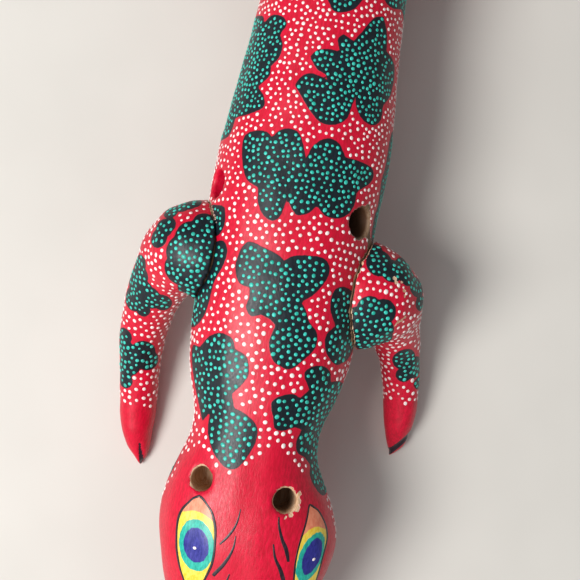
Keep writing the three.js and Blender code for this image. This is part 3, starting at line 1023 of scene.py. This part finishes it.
class Paint:
    """A material's node tree, with short calls to add and join nodes."""

    def __init__(self, name):
        self.material = bpy.data.materials.new(name)
        self.material.use_nodes = True
        self.tree = self.material.node_tree
        self.tree.nodes.clear()
        out = self.tree.nodes.new("ShaderNodeOutputMaterial")
        self.shader = self.tree.nodes.new("ShaderNodeBsdfPrincipled")
        self.tree.links.new(self.shader.outputs["BSDF"], out.inputs["Surface"])
        self.place = self.node("ShaderNodeTexCoord", {}).outputs["Object"]

    def node(self, kind, inputs, **settings):
        """Adds a node, with its inputs set or joined."""
        made = self.tree.nodes.new(kind)
        for key, value in settings.items():
            setattr(made, key, value)
        for key, value in inputs.items():
            self.join(made.inputs[key], value)
        return made

    def join(self, socket, value):
        if isinstance(value, bpy.types.NodeSocket):
            self.tree.links.new(value, socket)
        else:
            socket.default_value = value

    def scaled(self, x, y, z):
        """Object coordinates with their own scale, in cycles per metre, along each axis."""
        inputs = {"Vector": self.place, "Scale": (x, y, z)}
        return self.node("ShaderNodeMapping", inputs).outputs["Vector"]

    def noise(self, vector, detail=3.0, roughness=0.55, distortion=0.0):
        inputs = {"Vector": vector, "Scale": 1.0, "Detail": detail}
        inputs.update({"Roughness": roughness, "Distortion": distortion})
        return self.node("ShaderNodeTexNoise", inputs).outputs["Fac"]

    def math(self, operation, a, b=0.0):
        return self.node("ShaderNodeMath", {0: a, 1: b}, operation=operation).outputs[0]

    def spread(self, value, low, high, to_low=0.0, to_high=1.0):
        """A smooth step from to_low to to_high as value goes from low to high."""
        inputs = {"Value": value, "From Min": low, "From Max": high}
        inputs.update({"To Min": to_low, "To Max": to_high})
        made = self.node("ShaderNodeMapRange", inputs, interpolation_type="SMOOTHSTEP")
        return made.outputs["Result"]

    def mix(self, factor, a, b):
        """Colour a where factor is 0 and b where it is 1."""
        inputs = {0: factor, 6: rgb(a), 7: rgb(b)}
        return self.node("ShaderNodeMix", inputs, data_type="RGBA").outputs[2]

    def tones(self, value, pair, low=0.3, high=0.7):
        """From the first colour of a pair to the second as value goes from low to high."""
        return self.mix(self.spread(value, low, high), pair[0], pair[1])

    def vertex(self, name):
        return self.node("ShaderNodeAttribute", {}, attribute_name=name).outputs["Fac"]

    def wobbled(self, name, vector, amount):
        """A vertex value with its edge made uneven by a brush."""
        shake = self.math("MULTIPLY", self.math("SUBTRACT", self.noise(vector, 2.0), 0.5), amount)
        return self.math("ADD", self.vertex(name), shake)

    def finish(self, colour, roughness, height, bump, specular=0.5):
        """Joins the results up. Height, from 0 to 1, is bump metres high."""
        relief = {"Strength": 1.0, "Distance": bump, "Height": height}
        self.join(self.shader.inputs["Base Color"], colour)
        self.join(self.shader.inputs["Roughness"], roughness)
        self.join(self.shader.inputs["Normal"], self.node("ShaderNodeBump", relief).outputs["Normal"])
        self.shader.inputs["Specular IOR Level"].default_value = specular
        return self.material


def total(paint, *terms):
    """Sum of (factor, value) terms."""
    result = 0.0
    for factor, value in terms:
        result = paint.math("ADD", paint.math("MULTIPLY", value, factor), result)
    return result


def carved_paint():
    """Red ground, dark clouds, chips down to primer and wood with painted shade on that wood in the
    sockets, and dark paint in cuts.
    """
    m = Paint("painted_wood")
    fibre = m.scaled(1500, 380, 1500)
    fine = m.scaled(3200, 900, 3200)
    cloudy = m.scaled(70, 45, 70)
    grain = m.noise(fibre, 4.0, 0.6, 0.4)
    weave = m.noise(fine, 3.0, 0.6)
    broad = m.noise(cloudy, 2.0)
    red = m.mix(m.spread(broad, 0.35, 0.7, 0.0, 0.5), m.tones(grain, RED), RED_FADED)
    dark = m.tones(grain, DARK, 0.35)
    inside = m.spread(m.wobbled("cloud", m.scaled(900, 900, 900), 0.35), -0.1, 0.1)
    colour = m.mix(inside, red, dark)
    worn = m.wobbled("bare", m.scaled(1100, 700, 1100), 0.85)
    primer = m.spread(worn, 0.40, 0.47)
    chip = m.spread(worn, 0.50, 0.56)
    wood_grain = m.noise(m.scaled(1400, 120, 1400), 5.0, 0.6, 0.8)
    # painted shade: bare wood is darkened towards WOOD_SHADED where the sockets are shaded
    wood = m.mix(m.vertex("hollow"), m.tones(wood_grain, WOOD, 0.3, 0.72), WOOD_SHADED)
    colour = m.mix(chip, m.mix(primer, colour, PRIMER), wood)
    line = m.spread(m.wobbled("stain", m.scaled(1200, 800, 1200), 0.35), 0.42, 0.55)
    colour = m.mix(line, colour, CUT)
    rough = m.spread(weave, 0.3, 0.7, 0.34, 0.5)
    rough = m.math("ADD", rough, m.math("MULTIPLY", chip, 0.3))
    height = total(m, (0.75, grain), (0.35, weave), (0.30, inside), (-0.7, primer), (-0.6, chip))
    return m.finish(colour, rough, height, 0.00011, 0.42)


def dot_paint(name, colours):
    """Thick drops of paint, each a slightly different tone, streaked with a paler one."""
    low, high, pale = colours
    m = Paint(name)
    streak = m.noise(m.scaled(2400, 2400, 2400), 3.0)
    colour = m.mix(m.vertex("tone"), low, high)
    colour = m.mix(m.spread(streak, 0.45, 0.8, 0.0, 0.5), colour, pale)
    return m.finish(colour, m.spread(streak, 0.3, 0.7, 0.3, 0.45), streak, 0.00004)


def eye_paint():
    """Peach corner, yellow, teal ring and blue pupil, laid by hand."""
    m = Paint("eye_paint")
    rough_edge = m.scaled(520, 520, 520)
    brush = m.noise(m.scaled(1400, 500, 1400), 4.0, 0.6, 0.5)
    corner = m.spread(m.wobbled("corner", rough_edge, 0.8), -0.12, 0.12)
    ring = m.spread(m.wobbled("ring", rough_edge, 0.7), -0.1, 0.1)
    pupil = m.spread(m.wobbled("pupil", rough_edge, 0.8), -0.1, 0.1)
    colour = m.mix(corner, m.tones(brush, EYE_YELLOW), m.tones(brush, EYE_PEACH))
    colour = m.mix(ring, colour, m.tones(brush, EYE_TEAL))
    colour = m.mix(pupil, colour, m.tones(brush, EYE_BLUE))
    height = total(m, (0.5, brush), (0.3, ring), (0.3, pupil))
    return m.finish(colour, m.spread(brush, 0.3, 0.7, 0.3, 0.42), height, 0.00007)


def line_paint():
    m = Paint("line_paint")
    brush = m.noise(m.scaled(1500, 500, 1500), 3.0)
    colour = m.tones(brush, LINE, 0.35, 0.75)
    return m.finish(colour, m.spread(brush, 0.3, 0.7, 0.32, 0.48), brush, 0.00005)


def seam_putty():
    """Glue and sawdust: mottled, matt and gritty."""
    m = Paint("seam_putty")
    grit = m.noise(m.scaled(2600, 2600, 2600), 5.0, 0.7)
    colour = m.tones(grit, PUTTY, 0.35)
    return m.finish(colour, m.spread(grit, 0.3, 0.7, 0.7, 0.92), grit, 0.00025, 0.25)


def nail_steel():
    m = Paint("nail_steel")
    drawn = m.noise(m.scaled(4000, 4000, 900), 3.0)
    colour = m.tones(drawn, STEEL, 0.35)
    m.shader.inputs["Metallic"].default_value = 1.0
    return m.finish(colour, m.spread(drawn, 0.3, 0.7, 0.3, 0.5), drawn, 0.00003)


# ---- Wear ---------------------------------------------------------------------------------------
def chip_wear(points, tree):
    """How bare the chips leave each point."""
    wear = np.zeros(len(points))
    for x, s, radius, strength in CHIPS:
        centre, _ = drop(tree, x, SHOULDER_Y - s)
        if centre is None:
            continue
        distance = np.linalg.norm(points - centre, axis=1)
        wear = np.maximum(wear, strength * (1 - ease(distance, radius * 0.4, radius * 1.7)))
    return wear


def lip_wear(points):
    """How bare the worn lip leaves each point."""
    p = from_above(points)
    distance = np.min([np.linalg.norm(p - q, axis=1) for q in spline(WORN_LIP, 24)], axis=0)
    top = ease(points[:, 2], FLANK_TOP, FLANK_TOP + 2)
    return top * (1 - ease(distance, WORN_LIP_WIDTH, WORN_LIP_WIDTH * 1.8))


def seam_wear(points, distance, leg):
    """How bare a seam's edge is at points this distance from it."""
    start, end, width, strength = SEAM_WEAR[leg]
    s = ahead(points)
    span = ease(s, start - 3, start + 3) * (1 - ease(s, end - 3, end + 3))
    edge = 1 - ease(distance, 0.5 + width * 0.6, 0.5 + width * 1.6)
    return edge * span * strength


def trunk_wear_and_socket_shade(points, normals, trunk_tree, tail_tree, from_legs):
    """How bare the trunk's wood is, and how much painted shade darkens that bare wood: growing with
    depth in the ear sockets, more in the left one, and strong on all bare wood behind WINGS_BEHIND,
    full just inside the wing sockets.
    """
    bare, deep = socket_inside(points, normals)
    # painted shade in the sockets: the left ear socket gets more than the right, and all bare wood
    # behind WINGS_BEHIND gets most of it, full from just inside the wing sockets
    shade = np.where(points[:, 0] > 0, 0.75, 0.35)
    wing = points[:, 1] > WINGS_BEHIND
    hollow = np.where(wing, 1.3 * ease(deep, -4, 3), shade * ease(deep, 0, 6))
    seat = 1 - ease(nearest(tail_tree, points, 4)[1], 0.8, 1.2)
    for wear in (chip_wear(points, trunk_tree), lip_wear(points), seat):
        bare = np.maximum(bare, wear)
    for leg in LEGS:
        low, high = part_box(leg + "_leg")
        inside = (points[:, 1] > low.y / MM - 2) & (points[:, 1] < high.y / MM + 2)
        inside &= (points[:, 0] > 0) == leg.endswith("left")
        bare = np.where(inside, np.maximum(bare, seam_wear(points, from_legs, leg)), bare)
    return bare, hollow


def leg_wear(leg, points, tree, from_edge):
    """How bare a leg's wood is."""
    bare = seam_wear(points, from_edge, leg)
    if leg == "front_left":
        bare = np.maximum(bare, chip_wear(points, tree))
    return bare


# ---- Building -----------------------------------------------------------------------------------
def make_camera():
    data = bpy.data.cameras.new("camera")
    data.sensor_width = 36
    data.lens = CAMERA_LENS
    data.clip_start = 0.01
    camera = linked("camera", data)
    camera.location = Vector(CAMERA_XYZ) * MM
    camera.rotation_euler = (0, 0, math.radians(CAMERA_ROLL))
    bpy.context.scene.camera = camera


def add_light(name, light):
    data = bpy.data.lights.new(name, "AREA")
    data.shape = "DISK"
    data.size = light["size"] * MM
    data.energy = light["watts"]
    data.color = light["colour"]
    lamp = linked(name, data)
    lamp.location = Vector(light["at"]) * MM
    aim = Vector(LIGHT_AIM) * MM - lamp.location
    lamp.rotation_euler = aim.to_track_quat("-Z", "Y").to_euler()


def make_studio():
    world = bpy.data.worlds.new("studio")
    world.use_nodes = True
    sky = world.node_tree.nodes["Background"]
    sky.inputs["Color"].default_value = (*SKY["colour"], 1)
    sky.inputs["Strength"].default_value = SKY["strength"]
    bpy.context.scene.world = world
    add_light("key", KEY_LIGHT)
    add_light("fill", FILL_LIGHT)
    mesh = bpy.data.meshes.new("floor")
    corners = [(x * FLOOR_REACH, y * FLOOR_REACH, 0) for x, y in ((-1, -1), (1, -1), (1, 1), (-1, 1))]
    mesh.from_pydata(corners, [], [(0, 1, 2, 3)])
    floor = linked("floor", mesh)
    m = Paint("floor")
    soft = m.noise(m.scaled(9, 9, 9), 3.0)
    mesh.materials.append(m.finish(m.tones(soft, FLOOR), 0.7, soft, 0.0001, 0.3))


def make_skins():
    """All skins, how dark each point's cut is, and each leg's distances from the trunk."""
    skins = {"trunk": trunk_skin()}
    stains = {"trunk": face_cuts(skins["trunk"])}
    trunk_tree = tree_of(skins["trunk"])
    off_trunk = {}
    for leg in LEGS:
        mesh, off_trunk[leg] = leg_skin(leg, trunk_tree)
        write(mesh, pointed(read(mesh), leg))
        points, stains[leg] = hoof_groove(read(mesh), normals_of(mesh), leg)
        write(mesh, points)
        skins[leg] = mesh
    skins["tail"] = tail_skin()
    stains["tail"] = np.zeros(len(skins["tail"].vertices))
    return skins, stains, off_trunk


def painted_fields(skins, stains, off_trunk):
    """For each skin, its values per point that say where each paint goes."""
    depths = {name: painted_depth(name, mesh, off_trunk.get(name)) for name, mesh in skins.items()}
    points, faces = joined([(read(skins[leg]), triangles_of(skins[leg])) for leg in LEGS])
    legs_tree = BVHTree.FromPolygons(points.tolist(), faces.tolist())
    result = {}
    for name, mesh in skins.items():
        points = read(mesh)
        # painted shade in the sockets, which only the trunk has
        hollow = np.zeros(len(points))
        if name == "trunk":
            seam = nearest(legs_tree, points, 4)[1]
            trees = tree_of(mesh), tree_of(skins["tail"])
            bare, hollow = trunk_wear_and_socket_shade(points, normals_of(mesh), *trees, seam)
        elif name == "tail":
            seam = np.full(len(points), FAR)
            bare = 1 - ease(points[:, 1] - PEG_END, TAIL_PEG - 0.5, TAIL_PEG)
        else:
            seam = off_trunk[name] - COPE_EDGE
            bare = leg_wear(name, points, tree_of(mesh), seam)
        result[name] = {
            "cloud": depths[name], "bare": bare, "stain": stains[name], "hollow": hollow, "seam": seam,
        }
        for field in ("cloud", "bare", "stain", "hollow"):
            attribute(mesh, field, result[name][field])
    return result


def dot_skin(name, mesh, fields, white, teal):
    """White dots on a skin's red ground, and teal ones in its clouds."""
    def on_red(p, values):
        return sound_paint(name, p, values) & (values["cloud"] < -0.7)

    def in_cloud(p, values):
        return sound_paint(name, p, values) & (values["cloud"] > 0.65)

    body = "tail" if name == "tail" else "carving"
    for label, style, paint, usable in (
        ("white_dots", WHITE_DOTS, white, on_red),
        ("teal_dots", TEAL_DOTS, teal, in_cloud),
    ):
        p, n = scattered(mesh, fields, usable, style)
        if len(p):
            add_dots(f"{label}_{name}", p, n, style, paint, body)


def paint_face(tree, white):
    eye = eye_paint()
    line = line_paint()
    for side, shape in EYES.items():
        add_eye(side, shape, tree, eye, line, white)
    for k, crease in enumerate(CREASES):
        rows = spline([(x, SHOULDER_Y - s, width) for x, s, width in crease], 36)
        brush_line(f"crease_{k + 1}", tree, rows[:, :2], rows[:, 2], line)


def place_skins(skins, wood):
    """Each skin stands for its CAD nodes."""
    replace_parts(piece("carving_skin", skins["trunk"], wood, "carving"), "head_and_trunk")
    for leg in LEGS:
        skin = piece(f"{leg}_leg_skin", skins[leg], wood, "carving")
        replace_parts(skin, f"{leg}_leg", f"{leg}_nail_plug_1", f"{leg}_nail_plug_2")
    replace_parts(piece("tail_skin", skins["tail"], wood, "tail"), "tail")


def finish_cad_nodes():
    """The seams' filling and the nails keep their CAD shape."""
    filling = seam_putty()
    steel = nail_steel()
    for leg in LEGS:
        for node, paint in (("seam_putty", filling), ("nail_1", steel), ("nail_2", steel)):
            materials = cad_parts[f"{leg}_{node}"].data.materials
            materials.clear()
            materials.append(paint)


def main():
    make_camera()
    make_studio()
    bpy.context.scene.view_settings.view_transform = "Standard"
    skins, stains, off_trunk = make_skins()
    fields = painted_fields(skins, stains, off_trunk)
    wood = carved_paint()
    white = dot_paint("white_dots", WHITE)
    teal = dot_paint("teal_dots", TEAL)
    for name, mesh in skins.items():
        dot_skin(name, mesh, fields[name], white, teal)
    paint_face(tree_of(skins["trunk"]), white)
    place_skins(skins, wood)
    finish_cad_nodes()


main()
